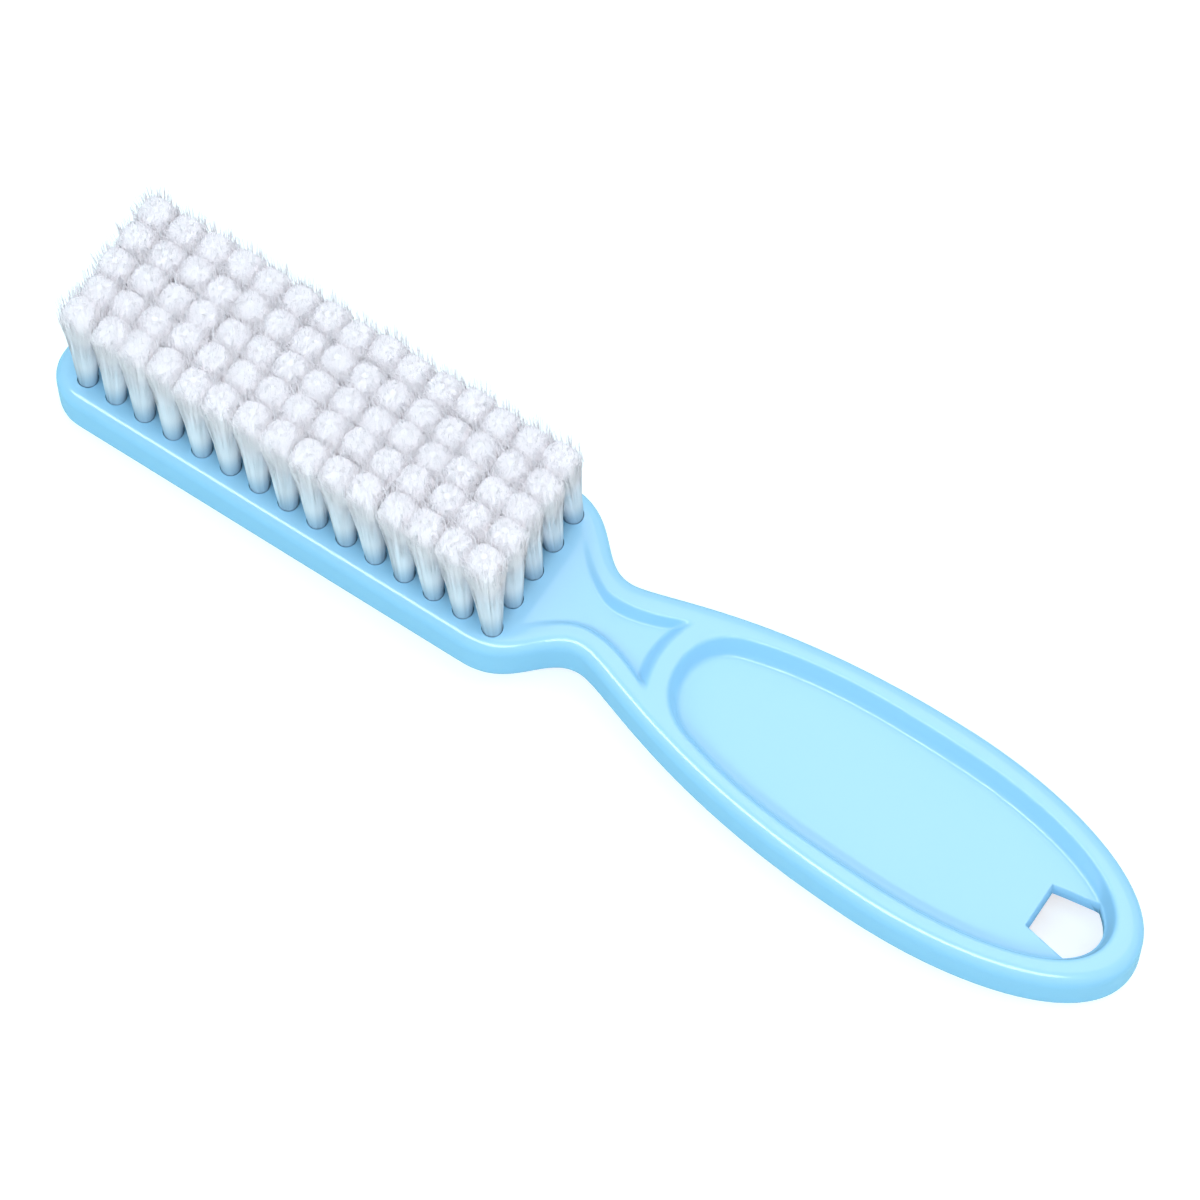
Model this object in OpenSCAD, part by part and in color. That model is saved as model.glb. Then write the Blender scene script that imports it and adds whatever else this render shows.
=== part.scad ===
// Nail brush with a flat tufted head and an open oval handle, moulded in one
// piece. X runs from the head to the handle's end, Z out of the bristle face.
// The origin is on the head's flat back, under the middle of the tuft field.

/* [Tuft field] */
// Number of cross rows along the head
tuft_rows = 15; // [3:1:21]
// Number of tufts in a cross row
row_tufts = 5; // [3:1:7]
// Distance between cross rows
row_pitch = 4.4; // [3.9:0.1:5.5]
// Distance between the tufts of a row
tuft_pitch = 4.56; // [3.9:0.02:5.5]
// Free length of a tuft, from the face to its tip
tuft_h = 20; // [10:0.5:30]
// Diameter of a tuft's root in its socket
root_d = 2.6; // [2:0.1:3]
// Least gap between neighbouring tufts at their widest
tuft_gap = 0.3; // [0.2:0.05:0.8]
// How much lower a tuft's rim ends than its middle
tuft_dome = 1.1; // [0:0.1:2]
// How far the outermost tips lean in over the field
tip_gather = 1.1; // [0:0.1:1.4]

/* [Sockets and anchors] */
// Depth of a tuft's blind socket
socket_depth = 6.2; // [4:0.1:7]
// Gap between a root and its socket
root_clear = 0.05; // [0.03:0.01:0.1]
// Height of the fold of filaments under an anchor
fold_h = 0.9; // [0.6:0.1:1.5]
// Length of an anchor, wider than the socket so that it grips
anchor_len = 3.2; // [3.1:0.05:3.6]
// Height of an anchor
anchor_h = 1.6; // [1:0.1:2]
// Thickness of an anchor
anchor_t = 0.3; // [0.2:0.05:0.5]
// Gap round an anchor
anchor_clear = 0.04; // [0.02:0.01:0.06]

/* [Head] */
// Thickness of the whole moulding
body_t = 9.2; // [8:0.1:12]
// Edge round of the whole moulding
edge_r = 2; // [1:0.1:2.8]
// Plate beside the outer tufts
side_margin = 3.7; // [2.5:0.1:6]
// Plate past the first row, at the tip
tip_margin = 5.2; // [4:0.1:8]
// Radius of the tip's corners
corner_r = 5.5; // [3.5:0.1:9]
// How far before the last row the shoulders start to turn in
shoulder_back = 2.5; // [1:0.1:4]

/* [Neck] */
// Distance from the last row to the neck's narrowest place
waist_reach = 10.8; // [8:0.1:14]
// Width of the neck at its narrowest place
neck_w = 11.8; // [10:0.1:15]
// Width of each side rib at the neck
neck_rib_w = 2.9; // [2.2:0.1:3.4]
// Depth of the hollow between the ribs
hollow_depth = 2.3; // [1:0.1:3]
// Distance from the last row to the hollow's shallow end
hollow_reach = 2.4; // [1.5:0.1:4]
// Width of the hollow at its shallow end
hollow_mouth_w = 16.4; // [12:0.1:18]
// Width of the hollow where it meets the ring
hollow_end_w = 12.2; // [9:0.1:13]
// Width of the sloping wall along each rib
hollow_wall_w = 1.3; // [0.8:0.1:1.6]
// Width of the sloping wall where the hollow meets the ring
ring_wall_w = 2.6; // [1.5:0.1:3]
// Distance from the last row to the start of the bend
bend_reach = 2; // [1:0.1:6]
// Length of the bend
bend_len = 14; // [10:0.5:18]
// Angle by which the handle falls away behind the head
bend_angle = 3.8; // [0:0.1:8]

/* [Handle] */
// Distance from the last row to the handle's widest place
belly_reach = 57; // [50:0.5:65]
// Distance from the widest place to the handle's end
belly_to_end = 32.1; // [26:0.1:40]
// Greatest width of the handle
handle_w = 27.5; // [24:0.1:32]
// Width of the ring at the foot of its walls
ring_w = 4.1; // [3.5:0.1:5]
// Width of the ring's foot at the handle's end
ring_end_w = 4.9; // [4:0.1:6]
// Distance from the last row to the foot of the recess
recess_reach = 22.8; // [21:0.1:26]
// Width of the recess's round front end
recess_front_w = 12.7; // [10:0.1:14]
// Length of the recess's round front end
recess_front_len = 4.6; // [3.5:0.1:6]
// Thickness of the web between the two recesses
web_t = 2.4; // [1.6:0.1:4]
// How far a recess wall leans out from foot to rim
wall_lean = 0.9; // [0.4:0.1:1.2]
// Round at the foot of a recess wall
foot_r = 0.3; // [0.2:0.1:0.9]
// Round on a recess's rim
rim_r = 0.5; // [0.3:0.1:0.9]
// Thickness of the ring where the hollow meets it
ring_front_w = 3.5; // [3:0.1:4.5]
// How far the ring bulges towards the head
ring_bulge = 1.7; // [1:0.1:2.5]

/* [Hang hole] */
// Distance from the handle's end to the hole's straight side
hole_reach = 13.8; // [11:0.1:16]
// Length of the hole's straight side
hole_w = 6.2; // [4.6:0.1:7]
// Angle at which the hole's flanks open
hole_flare = 10; // [5:1:25]
// Ledge of web left at the foot of the ring
hole_ledge = 0.2; // [0.1:0.05:0.5]

/* [Hidden] */

// One overrun serves all cuts
overrun = 1;
// Crossing height that keeps a cut's lip off the face it opens in
lip = 0.05;

// Pieces drawn on the curves, edges and round bores
corner_steps = 7;
shoulder_steps = 11;
flank_steps = 16;
end_steps = 16;
edge_steps = 5;
front_steps = 7;
hollow_steps = 8;
bore_sides = 32;

// Places along X, from the middle of the tuft field
last_row_x = (tuft_rows - 1) * row_pitch / 2;
last_tuft_y = (row_tufts - 1) * tuft_pitch / 2;
tip_x = -last_row_x - tip_margin;
head_half = last_tuft_y + side_margin;
shoulder_x = last_row_x - shoulder_back;
waist_x = last_row_x + waist_reach;
belly_x = last_row_x + belly_reach;
end_x = belly_x + belly_to_end;
bend_x = last_row_x + bend_reach;
hollow_x = last_row_x + hollow_reach;
recess_x = last_row_x + recess_reach;
ring_x = recess_x - ring_front_w;
front_x = recess_x + recess_front_len;
foot_end_x = end_x - ring_end_w;
hole_x = end_x - hole_reach;

waist_half = neck_w / 2;
belly_half = handle_w / 2;
foot_half = belly_half - ring_w;
recess_depth = (body_t - web_t) / 2;

// How far each curve's two handles reach, as shares of its length
shoulder_shares = [0.57, 0.37];
flank_shares = [0.09, 0.63];
end_shares = [0.48, 0.66];
front_shares = [0.62, 0.35];
foot_flank_shares = [0.32, 0.36];
// Slope of the recess's flank at its front, as a share
front_slope_share = 0.32;

// Slopes and pulls of the neck hollow's sides, as shares
mouth_shares = [0.35, 0.38];
throat_shares = [0.32, 0.38];
throat_slope_share = 0.52;

// Offset and depth across the hollow's wall, as shares of the wall
hollow_wall_shares = [[0, 0], [0.25, 0.1], [0.6, 0.5], [1, 0.72]];
// Place across the hollow's dished floor and its depth there, as shares
hollow_floor_shares = [[-0.5, 0.92], [0, 1], [0.5, 0.92]];
// Least distance from the foot of the ring's wall to the next station, as a share of the wall
station_gap_share = 0.2;
// Share of the way to the ring over which the hollow's floor falls
floor_fall_share = 0.5;

// Anchors and roots, measured in their sockets
socket_d = root_d + 2 * root_clear;
socket_floor_z = body_t - socket_depth;
anchor_z = socket_floor_z + fold_h;

// Strands of a tuft: five round a middle one, none touching
ring_strands = 5;
strand_sides = 3;
// Inward step of the tips from one row to the next, and from one tuft to the next
row_step = 2 * tip_gather / (tuft_rows - 1);
tuft_step = 2 * tip_gather / (row_tufts - 1);
tuft_top_d = min(row_pitch - row_step, tuft_pitch - tuft_step) - tuft_gap;
root_proud = root_d / 4;
strand_root = root_d / 3;
// Radius of a strand as a share of its tuft's
strand_share = 0.3;
// Tuft width from root to top, and height, as shares; a strand starts well inside the root
strand_levels_shares = [[-0.3, 0], [0.92, 0.45], [1, 1]];

function padded(i) = str(i < 10 ? "0" : "", i);
function tuft_row_name(i) = str("tuft_row_", padded(i));
function anchor_row_name(i) = str("anchor_row_", padded(i));

function row_x(i) = (i - (tuft_rows + 1) / 2) * row_pitch;
function tuft_y(j) = (j - (row_tufts + 1) / 2) * tuft_pitch;

// Height lost behind the head: level, then an arc, then a straight fall
function drop(x) =
    let (u = x - bend_x, slope = tan(bend_angle))
    u <= 0 ? 0 : u < bend_len ? -slope * u * u / (2 * bend_len) : -slope * (u - bend_len / 2);

// Cubic curve from a to d, drawn towards b and c, without its last point
function curve(a, b, c, d, steps) = [
    for (i = [0 : steps - 1])
        let (t = i / steps, s = 1 - t)
        s * s * s * a + 3 * s * s * t * b + 3 * s * t * t * c + t * t * t * d
];

// Half of the moulding's outline, from the tip to the handle's end
function body_half() =
    let (
        corner = [tip_x + corner_r, head_half - corner_r],
        shoulder = [shoulder_x, head_half],
        waist = [waist_x, waist_half],
        belly = [belly_x, belly_half],
        shoulder_len = waist_x - shoulder_x,
        flank_len = belly_x - waist_x
    )
    concat(
        [[tip_x, 0]],
        [for (i = [0 : corner_steps])
            corner + corner_r * [-cos(90 * i / corner_steps), sin(90 * i / corner_steps)]],
        curve(shoulder, shoulder + [shoulder_shares[0] * shoulder_len, 0],
            waist - [shoulder_shares[1] * shoulder_len, 0], waist, shoulder_steps),
        curve(waist, waist + [flank_shares[0] * flank_len, 0],
            belly - [flank_shares[1] * flank_len, 0], belly, flank_steps),
        curve(belly, belly + [end_shares[0] * belly_to_end, 0],
            [end_x, end_shares[1] * belly_half], [end_x, 0], end_steps),
        [[end_x, 0]]
    );

// Half of the outline at the foot of a recess's wall, from front to end
function foot_half_line() =
    let (
        front = [front_x, recess_front_w / 2],
        belly = [belly_x, foot_half],
        flank_len = belly_x - front_x
    )
    concat(
        curve([recess_x, 0], [recess_x, front_shares[0] * front.y],
            front - front_shares[1] * recess_front_len * [1, front_slope_share],
            front, front_steps),
        curve(front, front + foot_flank_shares[0] * flank_len * [1, front_slope_share],
            belly - [foot_flank_shares[1] * flank_len, 0], belly, flank_steps),
        curve(belly, belly + [end_shares[0] * (foot_end_x - belly_x), 0],
            [foot_end_x, end_shares[1] * foot_half], [foot_end_x, 0], end_steps),
        [[foot_end_x, 0]]
    );

// Closed outline of a half and its mirror image, anticlockwise from above
function closed(half) = concat(
    [for (p = half) [p.x, -p.y]],
    [for (i = [len(half) - 2 : -1 : 1]) half[i]]
);

// The outline moved inwards by a distance, which may be negative
function inset(loop, d) =
    let (n = len(loop))
    [for (i = [0 : n - 1])
        let (t = loop[(i + 1) % n] - loop[(i + n - 1) % n])
        loop[i] + d * [-t.y, t.x] / norm(t)];

// The outline at a height, following the bend
function level(loop, z) = [for (p = loop) [p.x, p.y, z + drop(p.x)]];

// Solid through a stack of levels that are mirror images about Y = 0
module stack(levels) {
    n = len(levels[0]);
    half = n / 2;
    top = (len(levels) - 1) * n;
    sides = [
        for (k = [0 : len(levels) - 2], i = [0 : n - 1])
            let (a = k * n + i, b = k * n + (i + 1) % n)
            each [[a, a + n, b], [b, a + n, b + n]]
    ];
    ends = [
        for (i = [1 : half - 2])
            let (a = i, b = i + 1, c = n - i - 1, d = n - i)
            each [[a, b, c], [a, c, d], [top + a, top + c, top + b], [top + a, top + d, top + c]]
    ];
    tips = [
        [0, 1, n - 1], [half - 1, half, half + 1],
        [top, top + n - 1, top + 1], [top + half - 1, top + half + 1, top + half]
    ];
    polyhedron([for (l = levels) each l], concat(sides, ends, tips));
}

// The whole moulding before it is cut, with all its edges rounded
module blank() {
    loop = closed(body_half());
    quarter = [for (i = [0 : edge_steps]) 90 * i / edge_steps];
    stack(concat(
        [for (a = quarter)
            level(inset(loop, edge_r * (1 - sin(a))), edge_r * (1 - cos(a)))],
        [for (a = quarter)
            level(inset(loop, edge_r * (1 - cos(a))), body_t - edge_r * (1 - sin(a)))]
    ));
}

// A recess's room: filleted foot, leaning wall and rounded rim
module recess(side) {
    loop = closed(foot_half_line());
    // Inset and height above the recess's floor
    section = [
        [foot_r, 0],
        [foot_r * (1 - sin(45)), foot_r * (1 - cos(45))],
        [0, foot_r],
        [-wall_lean, recess_depth - rim_r],
        [-wall_lean - rim_r * (1 - cos(45)), recess_depth - rim_r * (1 - sin(45))],
        [-wall_lean - rim_r, recess_depth + lip],
        [-wall_lean - rim_r, recess_depth + overrun]
    ];
    mid = body_t / 2;
    rising = [for (s = section) level(inset(loop, s[0]), mid + side * (web_t / 2 + s[1]))];
    stack(side > 0 ? rising : [for (i = [len(rising) - 1 : -1 : 0]) rising[i]]);
}

// Hollow between the neck's ribs: shallow at the head, walled by the ring
module neck_hollow() {
    mouth = [hollow_x, hollow_mouth_w / 2];
    waist = [waist_x, waist_half - neck_rib_w];
    throat = [ring_x + ring_bulge, hollow_end_w / 2];
    mouth_len = waist.x - mouth.x;
    throat_len = throat.x - waist.x;
    side = concat(
        curve(mouth, mouth + mouth_shares[0] * mouth_len * [1, -1],
            waist - [mouth_shares[1] * mouth_len, 0], waist, hollow_steps),
        curve(waist, waist + [throat_shares[0] * throat_len, 0],
            throat - throat_shares[1] * throat_len * [1, throat_slope_share], throat, hollow_steps)
    );
    // The last stations climb the ring's wall
    climb = [for (i = [len(hollow_wall_shares) - 1 : -1 : 0]) hollow_wall_shares[i]];
    stations = concat(
        [for (p = side) if (p.x < throat.x - ring_wall_w * (1 + station_gap_share)) [p.x, p.y, 1]],
        [for (c = climb)
            let (back = c[0] * ring_wall_w)
            [throat.x - back, throat.y - back * throat_slope_share, c[1] / climb[0][1]]]
    );
    across = concat(
        [for (c = hollow_wall_shares) [-1, c[0], c[1]]],
        [for (c = hollow_floor_shares) [c[0], 0, c[1]]],
        [for (c = climb) [1, c[0], c[1]]]
    );
    rows = len(stations);
    cols = len(across);
    fall_len = floor_fall_share * (throat.x - mouth.x);
    floor_points = [
        for (s = stations)
            let (
                fall = min(1, (s.x - mouth.x) / fall_len),
                bow = ring_bulge * max(0, (s.x - waist.x) / throat_len)
            )
            for (a = across)
                let (
                    y = a[0] * (s.y - a[1] * hollow_wall_w),
                    x = s.x - bow * (1 - pow(y / s.y, 2)),
                    deep = hollow_depth * fall * fall * (3 - 2 * fall) * s[2] * a[2]
                )
                [x, y, body_t + lip - deep * (1 + lip) + drop(x)]
    ];
    roof_points = [for (p = floor_points) [p.x, p.y, body_t + overrun]];
    roof = rows * cols;
    faces = [
        for (i = [0 : rows - 2], j = [0 : cols - 2])
            let (a = i * cols + j, b = a + 1, c = a + cols, d = c + 1)
            each [[a, c, b], [b, c, d], [roof + a, roof + b, roof + c], [roof + b, roof + d, roof + c]]
    ];
    long_walls = [
        for (i = [0 : rows - 2])
            let (a = i * cols, b = a + cols, c = a + cols - 1, d = c + cols)
            each [[a, roof + a, b], [b, roof + a, roof + b], [c, d, roof + c], [d, roof + d, roof + c]]
    ];
    last = (rows - 1) * cols;
    short_walls = [
        for (j = [0 : cols - 2])
            let (c = last + j)
            each [[j, j + 1, roof + j], [j + 1, roof + j + 1, roof + j],
                [c, roof + c, c + 1], [c + 1, roof + c, roof + c + 1]]
    ];
    polyhedron(concat(floor_points, roof_points), concat(faces, long_walls, short_walls));
}

// Hang hole through the web: a straight side, two flanks and the ring's curve
module hang_hole() {
    half = hole_w / 2;
    foot = inset(closed(foot_half_line()), hole_ledge);
    round_end = [
        for (p = foot)
            if (p.x > hole_x && abs(p.y) < half + tan(hole_flare) * (p.x - hole_x)) p
    ];
    fall = -drop(end_x);
    translate([0, 0, -fall - overrun])
        linear_extrude(body_t + fall + 2 * overrun)
            polygon(concat([[hole_x, half], [hole_x, -half]], round_end));
}

// Blind socket with the slots that its anchor bites into
module socket() {
    translate([0, 0, socket_floor_z])
        cylinder(d = socket_d, h = socket_depth + overrun, $fn = bore_sides);
    translate([-anchor_len / 2 - anchor_clear, -anchor_t / 2 - anchor_clear, anchor_z - anchor_clear])
        cube([anchor_len + 2 * anchor_clear, anchor_t + 2 * anchor_clear, anchor_h + 2 * anchor_clear]);
}

// Moulded body: tufted head, hollowed neck and open oval handle
module body() {
    color("#aee0fb")
        difference() {
            blank();
            recess(1);
            recess(-1);
            neck_hollow();
            hang_hole();
            for (i = [1 : tuft_rows], j = [1 : row_tufts])
                translate([row_x(i), tuft_y(j), 0])
                    socket();
        }
}

// One strand, swept through its levels as a tapering three-sided rod
module strand(ring_share, angle, top_z, lean) {
    base_z = body_t + root_proud - strand_root;
    rings = [
        for (s = strand_levels_shares)
            let (
                tuft_r = (root_d + (tuft_top_d - root_d) * s[0]) / 2,
                r = tuft_r * strand_share,
                from_axis = ring_share * (tuft_r - r),
                centre = [from_axis * cos(angle), from_axis * sin(angle)] + lean * s[1]
            )
            [for (k = [0 : strand_sides - 1])
                let (a = angle + 360 * k / strand_sides)
                [centre.x + r * cos(a), centre.y + r * sin(a), base_z + (top_z - base_z) * s[1]]]
    ];
    n = strand_sides;
    top = (len(rings) - 1) * n;
    sides = [
        for (k = [0 : len(rings) - 2], i = [0 : n - 1])
            let (a = k * n + i, b = k * n + (i + 1) % n)
            each [[a, a + n, b], [b, a + n, b + n]]
    ];
    ends = [for (k = [1 : n - 2]) each [[0, k, k + 1], [top, top + k + 1, top + k]]];
    polyhedron([for (r = rings) each r], concat(sides, ends));
}

// A tuft: a root folded round its anchor, and its strands spreading above
module tuft(lean) {
    root_z = socket_floor_z + root_clear;
    difference() {
        translate([0, 0, root_z])
            cylinder(d = root_d, h = body_t + root_proud - root_z, $fn = bore_sides);
        translate([-root_d, -anchor_t / 2 - anchor_clear, anchor_z - anchor_clear])
            cube([2 * root_d, anchor_t + 2 * anchor_clear, anchor_h + 2 * anchor_clear]);
    }
    strand(0, 0, body_t + tuft_h, lean);
    for (k = [0 : ring_strands - 1])
        strand(1, 360 * k / ring_strands, body_t + tuft_h - tuft_dome, lean);
}

// A cross row of tufts, whose tips lean in more the nearer they are to the field's edge
module tuft_row(i) {
    color("#f4f6fb")
        for (j = [1 : row_tufts])
            translate([row_x(i), tuft_y(j), 0])
                tuft(-[row_step * row_x(i) / row_pitch, tuft_step * tuft_y(j) / tuft_pitch]);
}

// The flat wire anchors that hold a cross row's tufts
module anchor_row(i) {
    color("#c9c3b4")
        for (j = [1 : row_tufts])
            translate([row_x(i) - anchor_len / 2, tuft_y(j) - anchor_t / 2, anchor_z])
                cube([anchor_len, anchor_t, anchor_h]);
}

body();
for (i = [1 : tuft_rows]) {
    tuft_row(i);
    anchor_row(i);
}
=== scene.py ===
import math

import bpy
import numpy as np
from mathutils import Matrix, Vector


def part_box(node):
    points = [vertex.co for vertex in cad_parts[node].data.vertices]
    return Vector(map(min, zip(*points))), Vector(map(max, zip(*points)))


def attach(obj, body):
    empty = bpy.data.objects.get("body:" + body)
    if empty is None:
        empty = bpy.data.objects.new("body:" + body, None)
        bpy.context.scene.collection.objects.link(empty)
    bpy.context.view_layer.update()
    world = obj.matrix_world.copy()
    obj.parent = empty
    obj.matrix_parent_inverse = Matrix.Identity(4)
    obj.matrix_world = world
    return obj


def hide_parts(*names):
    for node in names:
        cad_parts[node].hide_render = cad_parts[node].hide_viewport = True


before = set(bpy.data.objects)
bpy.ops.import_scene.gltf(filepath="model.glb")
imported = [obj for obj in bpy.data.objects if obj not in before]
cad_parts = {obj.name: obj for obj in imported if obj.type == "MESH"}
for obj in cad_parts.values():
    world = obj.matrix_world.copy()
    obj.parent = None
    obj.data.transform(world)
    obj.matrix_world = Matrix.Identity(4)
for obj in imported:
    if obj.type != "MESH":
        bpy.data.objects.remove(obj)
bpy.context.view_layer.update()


# Camera. The brush is seen from well above its near side, a little past the handle's end,
# with a long lens that keeps its two edges nearly parallel. The aim is a point on the neck.
camera_aim = Vector((0.0400, 0.0013, 0.0092))
camera_distance = 0.7803
camera_azimuth = math.radians(33.45)
camera_elevation = math.radians(67.99)
camera_lens = 187.6

bpy.ops.object.select_all(action="DESELECT")
bpy.ops.object.camera_add()
camera = bpy.context.object
camera.name = "camera"
camera.data.lens = camera_lens
camera.rotation_euler = (math.pi / 2 - camera_elevation, 0, camera_azimuth)
camera_back = camera.rotation_euler.to_matrix() @ Vector((0, 0, 1))
camera.location = camera_aim + camera_distance * camera_back
bpy.context.scene.camera = camera
bpy.context.scene.view_settings.view_transform = "Standard"


# Floor. A plain white table that the brush lies on with its back down. The handle droops, so
# the brush rests on its head's tip and its handle's end, and the table follows those two.
floor_size = 6
floor_white = (0.48, 0.72, 0.78, 1)
floor_glow = (1, 0.85, 0.8, 1)
floor_glow_level = 0.68
floor_gap = 0.0001
rest_inset = 0.002
body_low, body_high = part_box("body")
rest_tip_x = body_low.x + rest_inset
rest_end_x = body_high.x - rest_inset
floor_lean = math.atan2(-body_low.z, rest_end_x - rest_tip_x)

bpy.ops.object.select_all(action="DESELECT")
bpy.ops.mesh.primitive_plane_add(size=floor_size)
floor = bpy.context.object
floor.name = "floor"
floor.data.transform(
    Matrix.Translation((rest_tip_x, 0, -floor_gap)) @ Matrix.Rotation(floor_lean, 4, "Y")
)

paper = bpy.data.materials.new("white_paper")
paper.use_nodes = True
nodes, links = paper.node_tree.nodes, paper.node_tree.links
paper_shader = nodes["Principled BSDF"]
paper_shader.inputs["Base Color"].default_value = floor_white
paper_shader.inputs["Roughness"].default_value = 0.9
paper_shader.inputs["Specular IOR Level"].default_value = 0.1
seen = nodes.new("ShaderNodeLightPath")
glow = nodes.new("ShaderNodeMath")
glow.operation = "MULTIPLY"
glow.inputs[1].default_value = floor_glow_level
links.new(seen.outputs["Is Camera Ray"], glow.inputs[0])
paper_shader.inputs["Emission Color"].default_value = floor_glow
links.new(glow.outputs[0], paper_shader.inputs["Emission Strength"])
floor.data.materials.append(paper)


# Studio light. A pale room gives the even light, and a wide panel overhead lights the flat
# faces. On the near side a thin strip lights the walls, and a wider one, which only gloss
# sees, draws the bright line along the rounded edges.
room_blue = (0.66, 0.93, 1.0, 1)
room_low = 0.80
room_high = 0.82
panel_warm = (1.0, 0.78, 0.72)
panel_power = 3.9
panel_size = 0.9
panel_place = Vector((0.14, 0.26, 0.90))
strip_power = 2.4
strip_length = 1.2
strip_width = 0.06
strip_distance = 0.9
strip_elevation = math.radians(50)
strip_white = (1, 1, 1)
gloss_strip_power = 7
gloss_strip_width = 0.17

world = bpy.data.worlds.new("white_room")
bpy.context.scene.world = world
world.use_nodes = True
nodes, links = world.node_tree.nodes, world.node_tree.links
background = nodes["Background"]
where = nodes.new("ShaderNodeTexCoord")
place = nodes.new("ShaderNodeSeparateXYZ")
links.new(where.outputs["Generated"], place.inputs["Vector"])
room_level = nodes.new("ShaderNodeMapRange")
room_level.inputs["To Min"].default_value = room_low
room_level.inputs["To Max"].default_value = room_high
links.new(place.outputs["Z"], room_level.inputs["Value"])

# The room is plain white where the camera, gloss or glass looks at it
seen = nodes.new("ShaderNodeLightPath")
looked_at = nodes.new("ShaderNodeMath")
links.new(seen.outputs["Is Camera Ray"], looked_at.inputs[0])
links.new(seen.outputs["Is Glossy Ray"], looked_at.inputs[1])
white_seen = nodes.new("ShaderNodeMath")
white_seen.use_clamp = True
links.new(looked_at.outputs[0], white_seen.inputs[0])
links.new(seen.outputs["Is Transmission Ray"], white_seen.inputs[1])
strength = nodes.new("ShaderNodeMix")
strength.inputs["B"].default_value = 1
links.new(white_seen.outputs[0], strength.inputs["Factor"])
links.new(room_level.outputs["Result"], strength.inputs["A"])
links.new(strength.outputs["Result"], background.inputs["Strength"])
tint = nodes.new("ShaderNodeMix")
tint.data_type = "RGBA"
tint.inputs["A"].default_value = room_blue
tint.inputs["B"].default_value = (1, 1, 1, 1)
links.new(white_seen.outputs[0], tint.inputs["Factor"])
links.new(tint.outputs["Result"], background.inputs["Color"])


def lamp(name, width, length, power, tint, place):
    """A soft rectangular lamp that shines at the brush from place, with its length along X."""
    bpy.ops.object.select_all(action="DESELECT")
    bpy.ops.object.light_add(type="AREA", location=place)
    light = bpy.context.object
    light.name = name
    light.data.shape = "RECTANGLE"
    light.data.size = length
    light.data.size_y = width
    light.data.energy = power
    light.data.color = tint
    light.rotation_euler = (camera_aim - light.location).to_track_quat("-Z", "Y").to_euler()
    return light


strip_side = Vector((0, -math.cos(strip_elevation), math.sin(strip_elevation)))
strip_place = camera_aim + strip_distance * strip_side
lamp("overhead_panel", panel_size, panel_size, panel_power, panel_warm, camera_aim + panel_place)
lamp("near_strip", strip_width, strip_length, strip_power, strip_white, strip_place)
gloss_strip = lamp(
    "rim_strip", gloss_strip_width, strip_length, gloss_strip_power, strip_white, strip_place
)
gloss_strip.visible_diffuse = False


# Body. One injection moulding of sky-blue polypropylene: the plate that holds the tufts, a neck
# hollowed between two ribs, and an oval handle with a thin web inside a ring. It comes from the
# mould whole, with every edge rounded and a satin gloss. The handle falls away behind the head.
body_t = body_high.z
edge_r = 0.0020
tuft_rows = 15
row_tufts = 5
first_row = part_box("anchor_row_01")
last_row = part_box(f"anchor_row_{tuft_rows:02d}")
first_row_x = (first_row[0].x + first_row[1].x) / 2
last_row_x = (last_row[0].x + last_row[1].x) / 2
anchor_t = 0.0003
outer_tuft_y = (last_row[1].y - last_row[0].y) / 2 - anchor_t / 2
row_pitch = (last_row_x - first_row_x) / (tuft_rows - 1)
tuft_pitch = 2 * outer_tuft_y / (row_tufts - 1)

tip_x = body_low.x
end_x = body_high.x
side_margin = 0.0037
head_half = outer_tuft_y + side_margin
corner_r = 0.0055
shoulder_back = 0.0025
shoulder_x = last_row_x - shoulder_back
waist_reach = 0.0108
waist_x = last_row_x + waist_reach
waist_half = 0.0059
belly_to_end = 0.0321
belly_x = end_x - belly_to_end
belly_half = body_high.y

ring_w = 0.0041
ring_end_w = 0.0049
recess_reach = 0.0228
recess_x = last_row_x + recess_reach
recess_front_half = 0.00635
recess_front_len = 0.0046
web_t = 0.0024
wall_lean = 0.0009
foot_r = 0.00025
rim_r = 0.00045
overrun = 0.001

hole_reach = 0.0138
hole_x = end_x - hole_reach
hole_half = 0.0031
hole_flare = math.radians(10)
hole_draft = 0.12
hole_ledge = 0.0002

# How far the outline's handles reach: in a quarter circle, and as shares of each stretch
arc_reach = 0.5523
shoulder_shares = (0.57, 0.37)
flank_shares = (0.09, 0.63)
end_shares = (0.48, 0.66)
front_shares = (0.62, 0.35)
foot_flank_shares = (0.32, 0.36)
front_slope = 0.32

# How fine the mesh is: the skin's faces, the steps on curves and edges, and the smoothing
grain = 0.00038
curve_steps = 24
edge_steps = 6
touching = 1e-6
sharp_angle = math.radians(86)


def flip(knots):
    """The knots of a half outline, mirrored to the other side and run the other way."""
    return [tuple((x, -y) for x, y in (place, after, before)) for place, before, after in reversed(knots)]


def drawn(name, knots, closed=True):
    """A flat Bézier curve through knots, each given as its place and its two handles."""
    bpy.ops.object.select_all(action="DESELECT")
    bpy.ops.curve.primitive_bezier_curve_add()
    line = bpy.context.object
    line.name = name
    line.data.dimensions = "2D"
    spline = line.data.splines[0]
    spline.bezier_points.add(len(knots) - len(spline.bezier_points))
    for point, (place, before, after) in zip(spline.bezier_points, knots):
        point.handle_left_type = point.handle_right_type = "FREE"
        point.co = (*place, 0)
        point.handle_left = (*before, 0)
        point.handle_right = (*after, 0)
    spline.use_cyclic_u = closed
    return line


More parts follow.
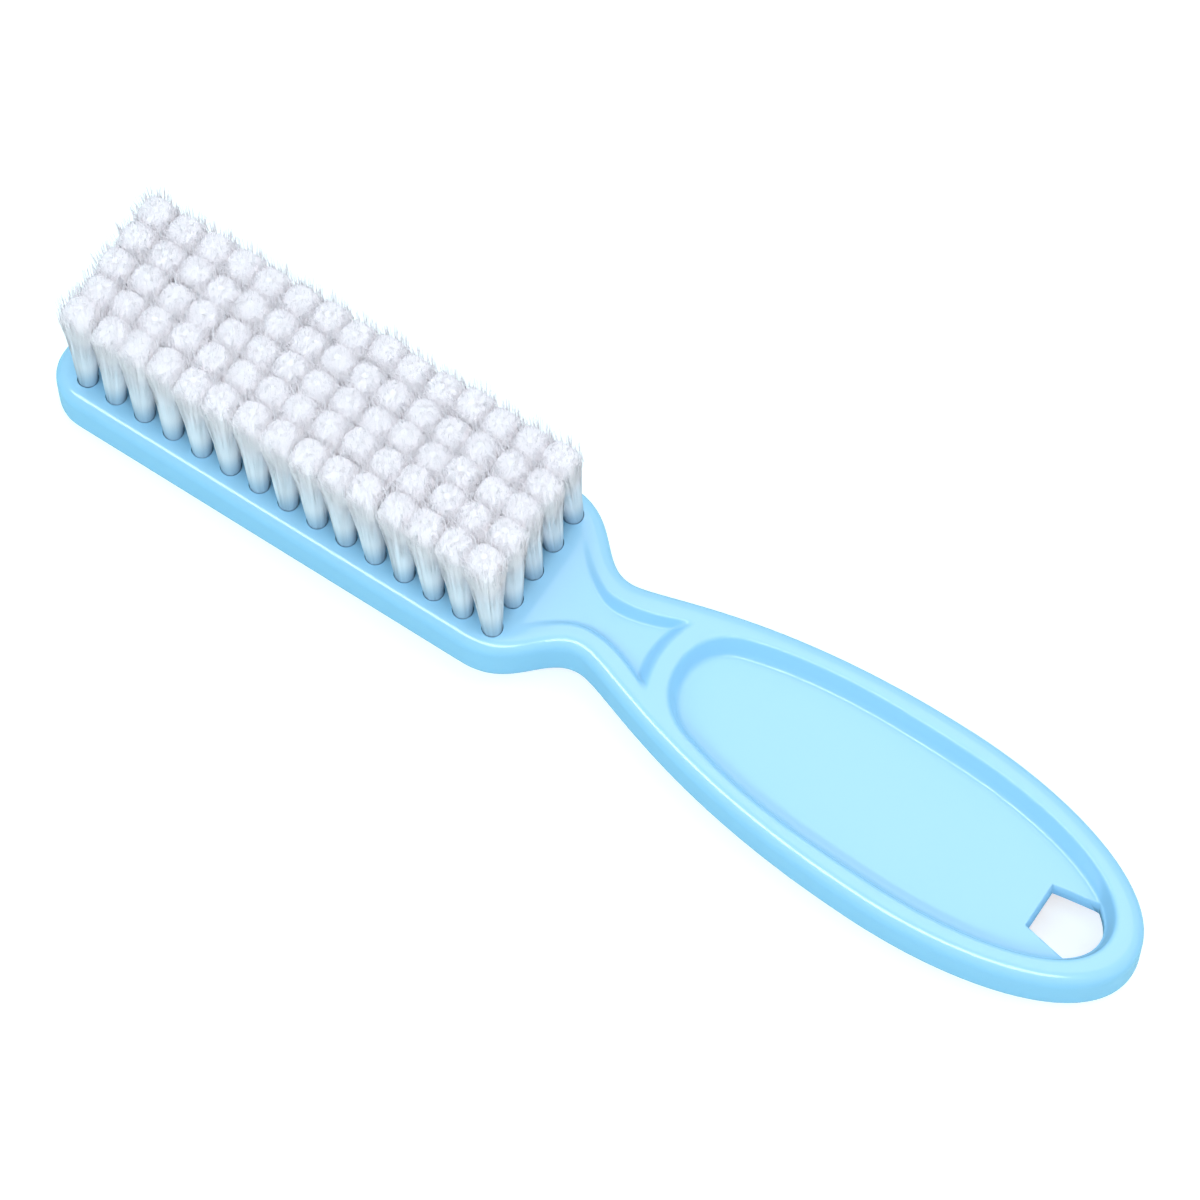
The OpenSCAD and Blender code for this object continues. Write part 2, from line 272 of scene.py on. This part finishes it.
def made_mesh(piece):
    """Turns a curve into a closed mesh: its doubles merged, its ends filled, facing outwards."""
    bpy.ops.object.select_all(action="DESELECT")
    piece.select_set(True)
    bpy.context.view_layer.objects.active = piece
    bpy.ops.object.convert(target="MESH")
    bpy.ops.object.mode_set(mode="EDIT")
    bpy.ops.mesh.select_all(action="SELECT")
    bpy.ops.mesh.remove_doubles(threshold=touching)
    bpy.ops.mesh.fill_holes(sides=0)
    bpy.ops.mesh.select_all(action="SELECT")
    bpy.ops.mesh.normals_make_consistent(inside=False)
    bpy.ops.object.mode_set(mode="OBJECT")
    return piece


def cut(piece, cutter, solver="EXACT"):
    """Takes the cutter's room out of the piece, and throws the cutter away."""
    room = piece.modifiers.new("room", "BOOLEAN")
    room.operation = "DIFFERENCE"
    room.solver = solver
    room.object = cutter
    bpy.ops.object.select_all(action="DESELECT")
    piece.select_set(True)
    bpy.context.view_layer.objects.active = piece
    bpy.ops.object.modifier_apply(modifier=room.name)
    bpy.data.objects.remove(cutter)


# The outline, from the tip's corner to the handle's end
shoulder_len = waist_x - shoulder_x
flank_len = belly_x - waist_x
end_len = end_x - belly_x
corner_y = head_half - corner_r
corner_x = tip_x + corner_r
half_outline = [
    ((tip_x, corner_y), (tip_x, corner_y / 2), (tip_x, corner_y + arc_reach * corner_r)),
    ((corner_x, head_half), (corner_x - arc_reach * corner_r, head_half), (0, head_half)),
    ((shoulder_x, head_half),
     (0, head_half),
     (shoulder_x + shoulder_shares[0] * shoulder_len, head_half)),
    ((waist_x, waist_half),
     (waist_x - shoulder_shares[1] * shoulder_len, waist_half),
     (waist_x + flank_shares[0] * flank_len, waist_half)),
    ((belly_x, belly_half),
     (belly_x - flank_shares[1] * flank_len, belly_half),
     (belly_x + end_shares[0] * end_len, belly_half)),
]
end_knot = ((end_x, 0), (end_x, end_shares[1] * belly_half), (end_x, -end_shares[1] * belly_half))
body = drawn("body_moulding", half_outline + [end_knot] + flip(half_outline))
body.data.resolution_u = curve_steps
body.data.fill_mode = "BOTH"
body.data.extrude = body_t / 2 - edge_r
body.data.bevel_depth = edge_r
body.data.bevel_resolution = edge_steps
body.data.offset = -edge_r
made_mesh(body)
body.data.transform(Matrix.Translation((0, 0, body_t / 2)))

# The recesses, one in each face: a wall that leans out, swept round the handle's inner outline
foot_half = belly_half - ring_w
front_x = recess_x + recess_front_len
foot_end_x = end_x - ring_end_w
foot_flank = belly_x - front_x
foot_end_len = foot_end_x - belly_x
half_foot = [
    ((front_x, recess_front_half),
     (front_x - front_shares[1] * recess_front_len,
      recess_front_half - front_shares[1] * front_slope * recess_front_len),
     (front_x + foot_flank_shares[0] * foot_flank,
      recess_front_half + foot_flank_shares[0] * front_slope * foot_flank)),
    ((belly_x, foot_half),
     (belly_x - foot_flank_shares[1] * foot_flank, foot_half),
     (belly_x + end_shares[0] * foot_end_len, foot_half)),
]
foot_end_knot = (
    (foot_end_x, 0), (foot_end_x, end_shares[1] * foot_half), (foot_end_x, -end_shares[1] * foot_half)
)
foot_front_knot = (
    (recess_x, 0),
    (recess_x, -front_shares[0] * recess_front_half),
    (recess_x, front_shares[0] * recess_front_half),
)
foot_knots = [foot_front_knot] + half_foot + [foot_end_knot] + flip(half_foot)

recess_depth = (body_t - web_t) / 2
rim_x = wall_lean + rim_r
section_knots = [
    ((foot_r, 0), (foot_r, 0), (foot_r * (1 - arc_reach), 0)),
    ((0, foot_r), (0, foot_r * (1 - arc_reach)), (0, foot_r)),
    ((-wall_lean, recess_depth - rim_r), (-wall_lean, recess_depth - rim_r),
     (-wall_lean, recess_depth - rim_r * (1 - arc_reach))),
    ((-rim_x, recess_depth), (-rim_x + rim_r * arc_reach, recess_depth), (-rim_x, recess_depth)),
    ((-rim_x, recess_depth + overrun), (-rim_x, recess_depth + overrun), (-rim_x, recess_depth + overrun)),
]
for side in (1, -1):
    section = drawn("recess_section", section_knots, closed=False)
    section.data.resolution_u = edge_steps
    recess = drawn("recess_room", foot_knots)
    recess.data.resolution_u = curve_steps
    recess.data.fill_mode = "NONE"
    recess.data.bevel_mode = "OBJECT"
    recess.data.bevel_object = section
    made_mesh(recess)
    bpy.data.objects.remove(section)
    recess.data.transform(
        Matrix.Translation((0, 0, body_t / 2 + side * web_t / 2)) @ Matrix.Diagonal((1, 1, side, 1))
    )
    if side < 0:
        recess.data.flip_normals()
    cut(body, recess)

# An even skin of small faces, eased so that no moulded edge is sharp
skin = body.modifiers.new("skin", "REMESH")
skin.mode = "VOXEL"
skin.voxel_size = grain
ease = body.modifiers.new("ease", "SMOOTH")
ease.factor = 0.5
ease.iterations = 2
bpy.ops.object.select_all(action="DESELECT")
body.select_set(True)
bpy.context.view_layer.objects.active = body
bpy.ops.object.modifier_apply(modifier=skin.name)
bpy.ops.object.modifier_apply(modifier=ease.name)

# The hang hole: a straight side and two flanks in the web, and the ring's own curve behind them
hole = drawn("hole_room", foot_knots)
hole.data.resolution_u = curve_steps
hole.data.fill_mode = "BOTH"
hole.data.extrude = body_t
hole.data.offset = -hole_ledge
made_mesh(hole)
flank_side = Vector((math.sin(hole_flare), math.cos(hole_flare), 0))
for place, outwards in [
    ((hole_x, 0, body_t / 2), Vector((-1, 0, -hole_draft))),
    ((hole_x, hole_half, body_t / 2), Vector((-flank_side.x, flank_side.y, -hole_draft))),
    ((hole_x, -hole_half, body_t / 2), Vector((-flank_side.x, -flank_side.y, -hole_draft))),
]:
    bpy.ops.object.mode_set(mode="EDIT")
    bpy.ops.mesh.select_all(action="SELECT")
    bpy.ops.mesh.bisect(plane_co=place, plane_no=outwards, use_fill=True, clear_outer=True)
    bpy.ops.object.mode_set(mode="OBJECT")
cut(body, hole, solver="MANIFOLD")

# The neck's hollow, which sinks between the ribs from the tufts to the ring's outer wall
hollow_depth = 0.0023
hollow_dish = 0.3
mouth_reach = 0.0024
mouth_x = last_row_x + mouth_reach
mouth_half = 0.0082
neck_rib_w = 0.0029
waist_floor_half = waist_half - neck_rib_w
ring_bulge = 0.0017
ring_front_w = 0.0035
throat_x = recess_x - ring_front_w + ring_bulge
throat_half = 0.0061
rib_wall_w = 0.0013
ring_wall_w = 0.0026
floor_fall_share = 0.5
floor_fall_len = floor_fall_share * (throat_x - mouth_x)
mouth_shares = (0.35, 0.38)
throat_shares = (0.32, 0.38)
throat_slope = 0.52
hollow_steps = 40
hollow_skirt = 0.001
facing_up = 0.9

mouth_len = waist_x - mouth_x
throat_len = throat_x - waist_x
hollow_side = [
    [(mouth_x, mouth_half),
     (mouth_x + mouth_shares[0] * mouth_len, mouth_half - mouth_shares[0] * mouth_len),
     (waist_x - mouth_shares[1] * mouth_len, waist_floor_half),
     (waist_x, waist_floor_half)],
    [(waist_x, waist_floor_half),
     (waist_x + throat_shares[0] * throat_len, waist_floor_half),
     (throat_x - throat_shares[1] * throat_len, throat_half - throat_shares[1] * throat_slope * throat_len),
     (throat_x, throat_half)],
]
done = np.linspace(0, 1, hollow_steps)[:, None]
left = 1 - done
side_line = np.concatenate([
    left ** 3 * a + 3 * left ** 2 * done * b + 3 * left * done ** 2 * c + done ** 3 * d
    for a, b, c, d in np.array(hollow_side)
])


def eased(amount):
    """A smooth climb from 0 to 1 as amount goes from 0 to 1."""
    amount = np.clip(amount, 0, 1)
    return amount * amount * (3 - 2 * amount)


body.data.polygons.foreach_set("select", [
    mouth_x - hollow_skirt < face.center.x < throat_x + hollow_skirt and abs(face.center.y) < mouth_half
    and face.normal.z > facing_up and face.center.z > body_t - edge_r for face in body.data.polygons
])
bpy.ops.object.mode_set(mode="EDIT")
bpy.ops.mesh.select_mode(type="FACE")
bpy.ops.mesh.subdivide(number_cuts=1)
bpy.ops.object.mode_set(mode="OBJECT")

co = np.empty(len(body.data.vertices) * 3, np.float32)
body.data.vertices.foreach_get("co", co)
co = co.reshape(-1, 3).astype(float)
x, y, z = co.T
half_here = np.interp(x, side_line[:, 0], side_line[:, 1])
bow = ring_bulge * np.clip((x - waist_x) / throat_len, 0, 1)
along = x + bow * (1 - np.clip(y / half_here, -1, 1) ** 2)
half_here = np.interp(along, side_line[:, 0], side_line[:, 1])
sunk = (
    hollow_depth
    * eased((along - mouth_x) / floor_fall_len)
    * eased((half_here - abs(y)) / rib_wall_w)
    * (1 - hollow_dish * (y / half_here) ** 2)
    * eased((throat_x - along) / ring_wall_w)
)
on_top = z > body_t - edge_r / 4
z[on_top] -= sunk[on_top]

# The droop of the handle: level under the head, then an arc, then a straight fall
bend_reach = 0.0020
bend_len = 0.0140
bend_slope = math.tan(math.radians(3.8))
past = np.clip(x - (last_row_x + bend_reach), 0, None)
z -= bend_slope * np.where(past < bend_len, past ** 2 / (2 * bend_len), past - bend_len / 2)
body.data.vertices.foreach_set("co", co.astype(np.float32).ravel())
body.data.update()

# The blind sockets, which pins in the mould leave, one for each tuft
socket_d = 0.0028
socket_depth = 0.0062
socket_sides = 24
pins = []
for row in range(tuft_rows):
    for tuft in range(row_tufts):
        bpy.ops.object.select_all(action="DESELECT")
        bpy.ops.mesh.primitive_cylinder_add(
            vertices=socket_sides, radius=socket_d / 2, depth=2 * socket_depth,
            location=(first_row_x + row * row_pitch, (tuft - (row_tufts - 1) / 2) * tuft_pitch, body_t),
        )
        pins.append(bpy.context.object)
for pin in pins:
    pin.select_set(True)
bpy.ops.object.join()
cut(body, bpy.context.object, solver="MANIFOLD")

bpy.ops.object.select_all(action="DESELECT")
body.select_set(True)
bpy.context.view_layer.objects.active = body
bpy.ops.object.shade_smooth_by_angle(angle=sharp_angle)

# Sky-blue plastic: a satin gloss that varies a little, a faint orange-peel skin, and a colour
# that is a touch deeper in slow clouds, as pigment flows in the mould
plastic_blue = (0.375, 0.685, 0.935, 1)
plastic_deep = (0.36, 0.675, 0.93, 1)
deep_share = 0.4
gloss_low = 0.12
gloss_high = 0.2
peel_depth = 0.0001
plastic = bpy.data.materials.new("sky_blue_plastic")
plastic.use_nodes = True
nodes, links = plastic.node_tree.nodes, plastic.node_tree.links
shader = nodes["Principled BSDF"]
shader.inputs["IOR"].default_value = 1.49
where = nodes.new("ShaderNodeTexCoord")
clouds = nodes.new("ShaderNodeTexNoise")
clouds.inputs["Scale"].default_value = 60
clouds.inputs["Detail"].default_value = 3
links.new(where.outputs["Object"], clouds.inputs["Vector"])
tint = nodes.new("ShaderNodeMix")
tint.data_type = "RGBA"
tint.inputs["A"].default_value = plastic_blue
tint.inputs["B"].default_value = plastic_deep
amount = nodes.new("ShaderNodeMapRange")
amount.inputs["From Min"].default_value = 0.35
amount.inputs["From Max"].default_value = 0.75
amount.inputs["To Max"].default_value = deep_share
links.new(clouds.outputs["Fac"], amount.inputs["Value"])
links.new(amount.outputs["Result"], tint.inputs["Factor"])
links.new(tint.outputs["Result"], shader.inputs["Base Color"])
gloss = nodes.new("ShaderNodeMapRange")
gloss.inputs["To Min"].default_value = gloss_low
gloss.inputs["To Max"].default_value = gloss_high
links.new(clouds.outputs["Fac"], gloss.inputs["Value"])
links.new(gloss.outputs["Result"], shader.inputs["Roughness"])
peel = nodes.new("ShaderNodeTexNoise")
peel.inputs["Scale"].default_value = 1500
links.new(where.outputs["Object"], peel.inputs["Vector"])
bump = nodes.new("ShaderNodeBump")
bump.inputs["Strength"].default_value = 0.04
bump.inputs["Distance"].default_value = peel_depth
links.new(peel.outputs["Fac"], bump.inputs["Height"])
links.new(bump.outputs["Normal"], shader.inputs["Normal"])
body.data.materials.clear()
body.data.materials.append(plastic)

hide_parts("body")
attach(body, "root")


# Tufts. Bundles of white nylon filament, each folded in half round its anchor, driven into its
# socket and trimmed to one length. A tuft leaves the plate narrow and round, and widens till it
# touches its neighbours. Its core is packed, and its edge and low dome are of loose filaments.
filament_d = 0.00012
filament_tip_d = 0.00008
root_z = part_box("anchor_row_01")[0].z
tip_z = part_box("tuft_row_01")[1].z
free_len = tip_z - body_t
side_gather = 0.0012
end_gather = 0.0016
tuft_wander = 0.00018
crown_share = 0.8
draw = np.random.default_rng(75)

# Height and width of the packed core, as shares of the free length and of the pitch. The first
# ten levels are its wall, which the loose filaments follow, and the rest are its crown.
bundle_shares = [
    (-0.05, 0.55), (0, 0.575), (0.06, 0.62), (0.14, 0.675), (0.24, 0.735), (0.36, 0.80), (0.48, 0.86),
    (0.60, 0.915), (0.70, 0.955), (0.79, 0.985), (0.86, 1.0), (0.887, 0.965), (0.905, 0.91), (0.919, 0.83),
    (0.930, 0.73), (0.938, 0.59), (0.943, 0.42), (0.946, 0.22),
]
wall_levels = 10
bundle_sides = 96
flute_depth = 0.07
bundle_swell = 0.022
corner_fill = 0.24
crown_rough = 0.00006

bpy.ops.object.select_all(action="DESELECT")
bpy.ops.mesh.primitive_circle_add(
    vertices=bundle_sides, radius=bundle_shares[0][1] * row_pitch / 2,
    location=(0, 0, body_t + bundle_shares[0][0] * free_len), fill_type="NGON",
)
bundle = bpy.context.object
bpy.ops.object.transform_apply(location=True)
bpy.ops.object.mode_set(mode="EDIT")
bpy.ops.mesh.select_all(action="SELECT")
for (low_share, low_width), (high_share, high_width) in zip(bundle_shares, bundle_shares[1:]):
    bpy.ops.mesh.extrude_region_move(
        TRANSFORM_OT_translate={"value": (0, 0, (high_share - low_share) * free_len)}
    )
    grow = high_width / low_width
    bpy.ops.transform.resize(value=(grow, grow, 1))
bpy.ops.mesh.select_all(action="SELECT")
bpy.ops.mesh.normals_make_consistent(inside=False)
bpy.ops.object.mode_set(mode="OBJECT")
one_bundle = np.array([point.co for point in bundle.data.vertices])

# Its faces in a fixed order, so that every run gives the same mesh
bundle_faces = sorted(tuple(face.vertices) for face in bundle.data.polygons)
bpy.data.objects.remove(bundle)
bundle_side = np.rint(
    np.arctan2(one_bundle[:, 1], one_bundle[:, 0]) / math.tau * bundle_sides
).astype(int) % bundle_sides


def filament_form(low, bend_shares):
    """The points and faces of one upright three-sided filament that starts at the height low."""
    bpy.ops.object.select_all(action="DESELECT")
    bpy.ops.mesh.primitive_cone_add(
        vertices=3, radius1=filament_d / 2, radius2=filament_tip_d / 2, depth=tip_z - low,
        location=(0, 0, (tip_z + low) / 2),
    )
    filament = bpy.context.object
    bpy.ops.object.transform_apply(location=True)
    for bend in bend_shares:
        bpy.ops.object.mode_set(mode="EDIT")
        bpy.ops.mesh.select_all(action="SELECT")
        bpy.ops.mesh.bisect(plane_co=(0, 0, body_t + bend * free_len), plane_no=(0, 0, 1))
        bpy.ops.object.mode_set(mode="OBJECT")
    points = np.array([point.co for point in filament.data.vertices])
    faces = [tuple(face.vertices) for face in filament.data.polygons]
    bpy.data.objects.remove(filament)
    return points, faces


# Where each change up a tuft begins and how long it takes, as shares of the free length
square_span = (0.45, 0.38)
round_span = (0.85, 0.07)
face_up_span = (0.45, 0.42)
loose_span = (0.66, 0.2)


def climb(rise, span):
    """A smooth climb from 0 to 1 over a span of a tuft's height."""
    return eased((rise - span[0]) / span[1])


def corners(rise, turn):
    """How much wider a tuft is where its neighbours press it square: at its four corners."""
    square = climb(rise, square_span) * (1 - climb(rise, round_span))
    return 1 + corner_fill * square * (1 - np.cos(4 * turn)) / 2


def width_here(height, turn):
    """How wide a tuft is at a height, round at the plate and at the top."""
    rise = np.clip((height - body_t) / free_len, 0, 1)
    return np.interp(rise, *np.array(bundle_shares[:wall_levels]).T) * row_pitch / 2 * corners(rise, turn)


# The loose filaments: a ring of whole ones, and short ones that crowd towards the tuft's edge
outer_filaments = 60
outer_bends = (0, 0.14, 0.36, 0.66)
outer_reach = 0.985
outer_trim = 0.0001
top_filaments = 140
top_bends = (0.92,)
top_reach = 1.05
top_crowding = 0.45
golden_turn = math.pi * (3 - math.sqrt(5))
turn_spread = 0.15
trim_spread = 0.0012
dome = 0.0003
wander = 0.00012
wander_curve = 4
stray_share = 0.8
stray_reach = 0.0009
stray_curve = 6
side_up = 0.15
dome_up = 2.6
loose_up = 1.2
outer_ring = outer_reach * np.ones(outer_filaments)
top_ring = top_reach * ((np.arange(top_filaments) + 0.5) / top_filaments) ** top_crowding
filament_kinds = [
    (filament_form(root_z, outer_bends), outer_ring, outer_trim),
    (filament_form(body_t + crown_share * free_len, top_bends), top_ring, 0),
]


def facing(points, centre, lean):
    """Which way a tuft faces at each point: outwards on its side and upwards on its dome."""
    rise = np.clip((points[:, 2] - body_t) / free_len, 0, 1)[:, None]
    out = (points[:, :2] - centre - rise * lean) / (row_pitch / 2)
    up = side_up + dome_up * climb(rise, face_up_span)
    ways = np.hstack([out, up])
    return ways / np.linalg.norm(ways, axis=1)[:, None]


def loosened(points, ways, across):
    """Near a tuft's top, turns its facing to that of each filament alone: half sideways, half up."""
    alone = climb((points[:, 2] - body_t) / free_len, loose_span)[:, None]
    ways = ways * (1 - alone) + (across + (0, 0, loose_up)) * alone
    return ways / np.linalg.norm(ways, axis=1)[:, None]


def bundle_points(centre, lean):
    """The points of one packed bundle, fluted and a little out of round."""
    turn = bundle_side / bundle_sides * math.tau
    rise = np.clip((one_bundle[:, 2] - body_t) / free_len, 0, 1)
    flutes = 1 - flute_depth * (draw.random(bundle_sides) * (np.arange(bundle_sides) % 2))[bundle_side]
    flutes *= corners(rise, turn)
    for waves in (2, 3):
        flutes += bundle_swell / waves * draw.normal() * np.cos(waves * turn + draw.random() * math.tau)
    points = one_bundle.copy()
    points[:, 2] += (rise > crown_share) * draw.normal(0, crown_rough, len(points))
    points[:, :2] = points[:, :2] * flutes[:, None] + centre + rise[:, None] * lean
    return points


def stood(form, centre, lean, ring, turn, trim):
    """Copies of one filament, each at its own share of the width and its own place round it."""
    height = form[:, 2]
    rise = np.clip((height - body_t) / free_len, 0, 1)
    reach = ring[:, None] * width_here(height, turn[:, None])
    stray = (draw.random(len(ring)) < stray_share)[:, None] * stray_reach * ring[:, None]
    reach = reach + stray * rise ** stray_curve
    twist = draw.random(len(ring))[:, None] * math.tau
    drift = draw.normal(0, wander, (2, len(ring), 1)) * rise ** wander_curve
    points = np.empty((len(ring), len(form), 3))
    across = np.zeros_like(points)
    across[:, :, 0] = form[:, 0] * np.cos(twist) - form[:, 1] * np.sin(twist)
    across[:, :, 1] = form[:, 0] * np.sin(twist) + form[:, 1] * np.cos(twist)
    points[:, :, 0] = across[:, :, 0] + reach * np.cos(turn)[:, None]
    points[:, :, 1] = across[:, :, 1] + reach * np.sin(turn)[:, None]
    across = across.reshape(-1, 3)
    points[:, :, 0] += centre[0] + rise * lean[0] + drift[0]
    points[:, :, 1] += centre[1] + rise * lean[1] + drift[1]
    points[:, :, 2] = height + (height > tip_z - touching) * trim[:, None]
    return points.reshape(-1, 3), across / np.linalg.norm(across, axis=1)[:, None]


# Nylon: white with a cold tint. Its colour up the tuft is painted light and shade: painted shade on the
# sides, duller and bluer near the plate as painted shade and painted blue light from the plate, lighter in
# the gaps between the tufts' tops as painted light, and a touch dimmer on the lit crowns as painted shade
nylon_crown_painted_shade = (0.965, 0.93, 0.985, 1)
nylon_gap_painted_light = (0.985, 0.96, 1.0, 1)
nylon_side_painted_shade = (0.925, 0.895, 0.95, 1)
nylon_root_painted_shade_and_bounce = (0.42, 0.58, 0.74, 1)
# Heights at which the painted light and shade in the nylon's colour change
nylon_painted_light_levels = [
    (0.32, nylon_side_painted_shade), (0.6, nylon_side_painted_shade), (0.72, nylon_gap_painted_light), (0.87, nylon_gap_painted_light), (0.93, nylon_crown_painted_shade),
]
darkest_tone = 0.96
strand_stretch = (8000, 8000, 250)
strand_depth = 0.00006
nylon = bpy.data.materials.new("white_nylon")
nylon.use_nodes = True
nodes, links = nylon.node_tree.nodes, nylon.node_tree.links
shader = nodes["Principled BSDF"]
shader.inputs["Roughness"].default_value = 0.6
shader.inputs["IOR"].default_value = 1.53
shader.inputs["Specular IOR Level"].default_value = 0.3
where = nodes.new("ShaderNodeTexCoord")
place = nodes.new("ShaderNodeSeparateXYZ")
links.new(where.outputs["Object"], place.inputs["Vector"])
up = nodes.new("ShaderNodeMapRange")
up.inputs["From Min"].default_value = body_t
up.inputs["From Max"].default_value = tip_z
links.new(place.outputs["Z"], up.inputs["Value"])
# This ramp paints light and shade into the nylon by height: painted shade at the root and sides, painted
# light in the gaps, dimmer crowns
painted_light_by_height = nodes.new("ShaderNodeValToRGB")
painted_light_by_height.color_ramp.interpolation = "EASE"
for at, colour in nylon_painted_light_levels:
    painted_light_by_height.color_ramp.elements.new(at).color = colour
painted_light_by_height.color_ramp.elements[0].color = nylon_root_painted_shade_and_bounce
painted_light_by_height.color_ramp.elements[-1].color = nylon_crown_painted_shade
links.new(up.outputs["Result"], painted_light_by_height.inputs["Fac"])
tone = nodes.new("ShaderNodeAttribute")
tone.attribute_name = "tone"
shade = nodes.new("ShaderNodeMapRange")
shade.inputs["To Min"].default_value = darkest_tone
links.new(tone.outputs["Fac"], shade.inputs["Value"])
stretch = nodes.new("ShaderNodeMapping")
stretch.inputs["Scale"].default_value = strand_stretch
links.new(where.outputs["Object"], stretch.inputs["Vector"])
strands = nodes.new("ShaderNodeTexNoise")
strands.inputs["Scale"].default_value = 1
strands.inputs["Detail"].default_value = 1
links.new(stretch.outputs["Vector"], strands.inputs["Vector"])
relief = nodes.new("ShaderNodeBump")
relief.inputs["Strength"].default_value = 0.5
relief.inputs["Distance"].default_value = strand_depth
links.new(strands.outputs["Fac"], relief.inputs["Height"])
links.new(relief.outputs["Normal"], shader.inputs["Normal"])
toned = nodes.new("ShaderNodeVectorMath")
toned.operation = "SCALE"
links.new(painted_light_by_height.outputs["Color"], toned.inputs["Vector"])
links.new(shade.outputs["Result"], toned.inputs["Scale"])
links.new(toned.outputs["Vector"], shader.inputs["Base Color"])

for row in range(tuft_rows):
    row_x = first_row_x + row * row_pitch
    points, faces, tones, normals = [], [], [], []
    start = 0
    for tuft in range(row_tufts):
        tuft_y = (tuft - (row_tufts - 1) / 2) * tuft_pitch
        centre = np.array([row_x, tuft_y])
        lean = -np.array([end_gather, side_gather]) * ((row + 0.5) / tuft_rows, tuft_y / outer_tuft_y)
        lean += draw.normal(0, tuft_wander, 2)
        points.append(bundle_points(centre, lean))
        normals.append(facing(points[-1], centre, lean))
        faces += [tuple(start + v for v in face) for face in bundle_faces]
        tones.append(draw.random(bundle_sides)[bundle_side])
        start += len(points[-1])
        for (form, form_faces), ring, shorter in filament_kinds:
            count = len(ring)
            turn = np.arange(count) * golden_turn + draw.normal(0, turn_spread, count)
            trim = -dome * ring ** 2 - trim_spread * draw.random(count) - shorter
            stand, across = stood(form, centre, lean, ring, turn, trim)
            points.append(stand)
            normals.append(loosened(stand, facing(stand, centre, lean), across))
            tones.append(np.repeat(draw.random(count), len(form)))
            for first in range(start, start + len(points[-1]), len(form)):
                faces += [tuple(first + v for v in face) for face in form_faces]
            start += len(points[-1])
    mesh = bpy.data.meshes.new(f"filaments_{row + 1:02d}")
    mesh.from_pydata(np.concatenate(points).tolist(), [], faces)
    mesh.shade_smooth()
    mesh.normals_split_custom_set_from_vertices(np.concatenate(normals).tolist())
    mesh.attributes.new("tone", "FLOAT", "POINT").data.foreach_set("value", np.concatenate(tones))
    mesh.materials.append(nylon)
    tufts = bpy.data.objects.new(f"filaments_{row + 1:02d}", mesh)
    bpy.context.scene.collection.objects.link(tufts)
    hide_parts(f"tuft_row_{row + 1:02d}")
    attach(tufts, "root")


# Anchors. Short bits of flat drawn wire, a little wider than their sockets, that bite into the
# plate's plastic and hold the fold of each tuft. They are buried and keep their own shape.
wire_colour = (0.72, 0.70, 0.64, 1)
wire_bright = 0.25
wire_dull = 0.5
scratch_stretch = (300, 9000, 9000)
wire = bpy.data.materials.new("drawn_wire")
wire.use_nodes = True
nodes, links = wire.node_tree.nodes, wire.node_tree.links
shader = nodes["Principled BSDF"]
shader.inputs["Base Color"].default_value = wire_colour
shader.inputs["Metallic"].default_value = 1
where = nodes.new("ShaderNodeTexCoord")
stretch = nodes.new("ShaderNodeMapping")
stretch.inputs["Scale"].default_value = scratch_stretch
links.new(where.outputs["Object"], stretch.inputs["Vector"])
scratches = nodes.new("ShaderNodeTexNoise")
scratches.inputs["Scale"].default_value = 1
links.new(stretch.outputs["Vector"], scratches.inputs["Vector"])
dull = nodes.new("ShaderNodeMapRange")
dull.inputs["To Min"].default_value = wire_bright
dull.inputs["To Max"].default_value = wire_dull
links.new(scratches.outputs["Fac"], dull.inputs["Value"])
links.new(dull.outputs["Result"], shader.inputs["Roughness"])
for row in range(tuft_rows):
    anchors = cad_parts[f"anchor_row_{row + 1:02d}"]
    anchors.data.materials.clear()
    anchors.data.materials.append(wire)
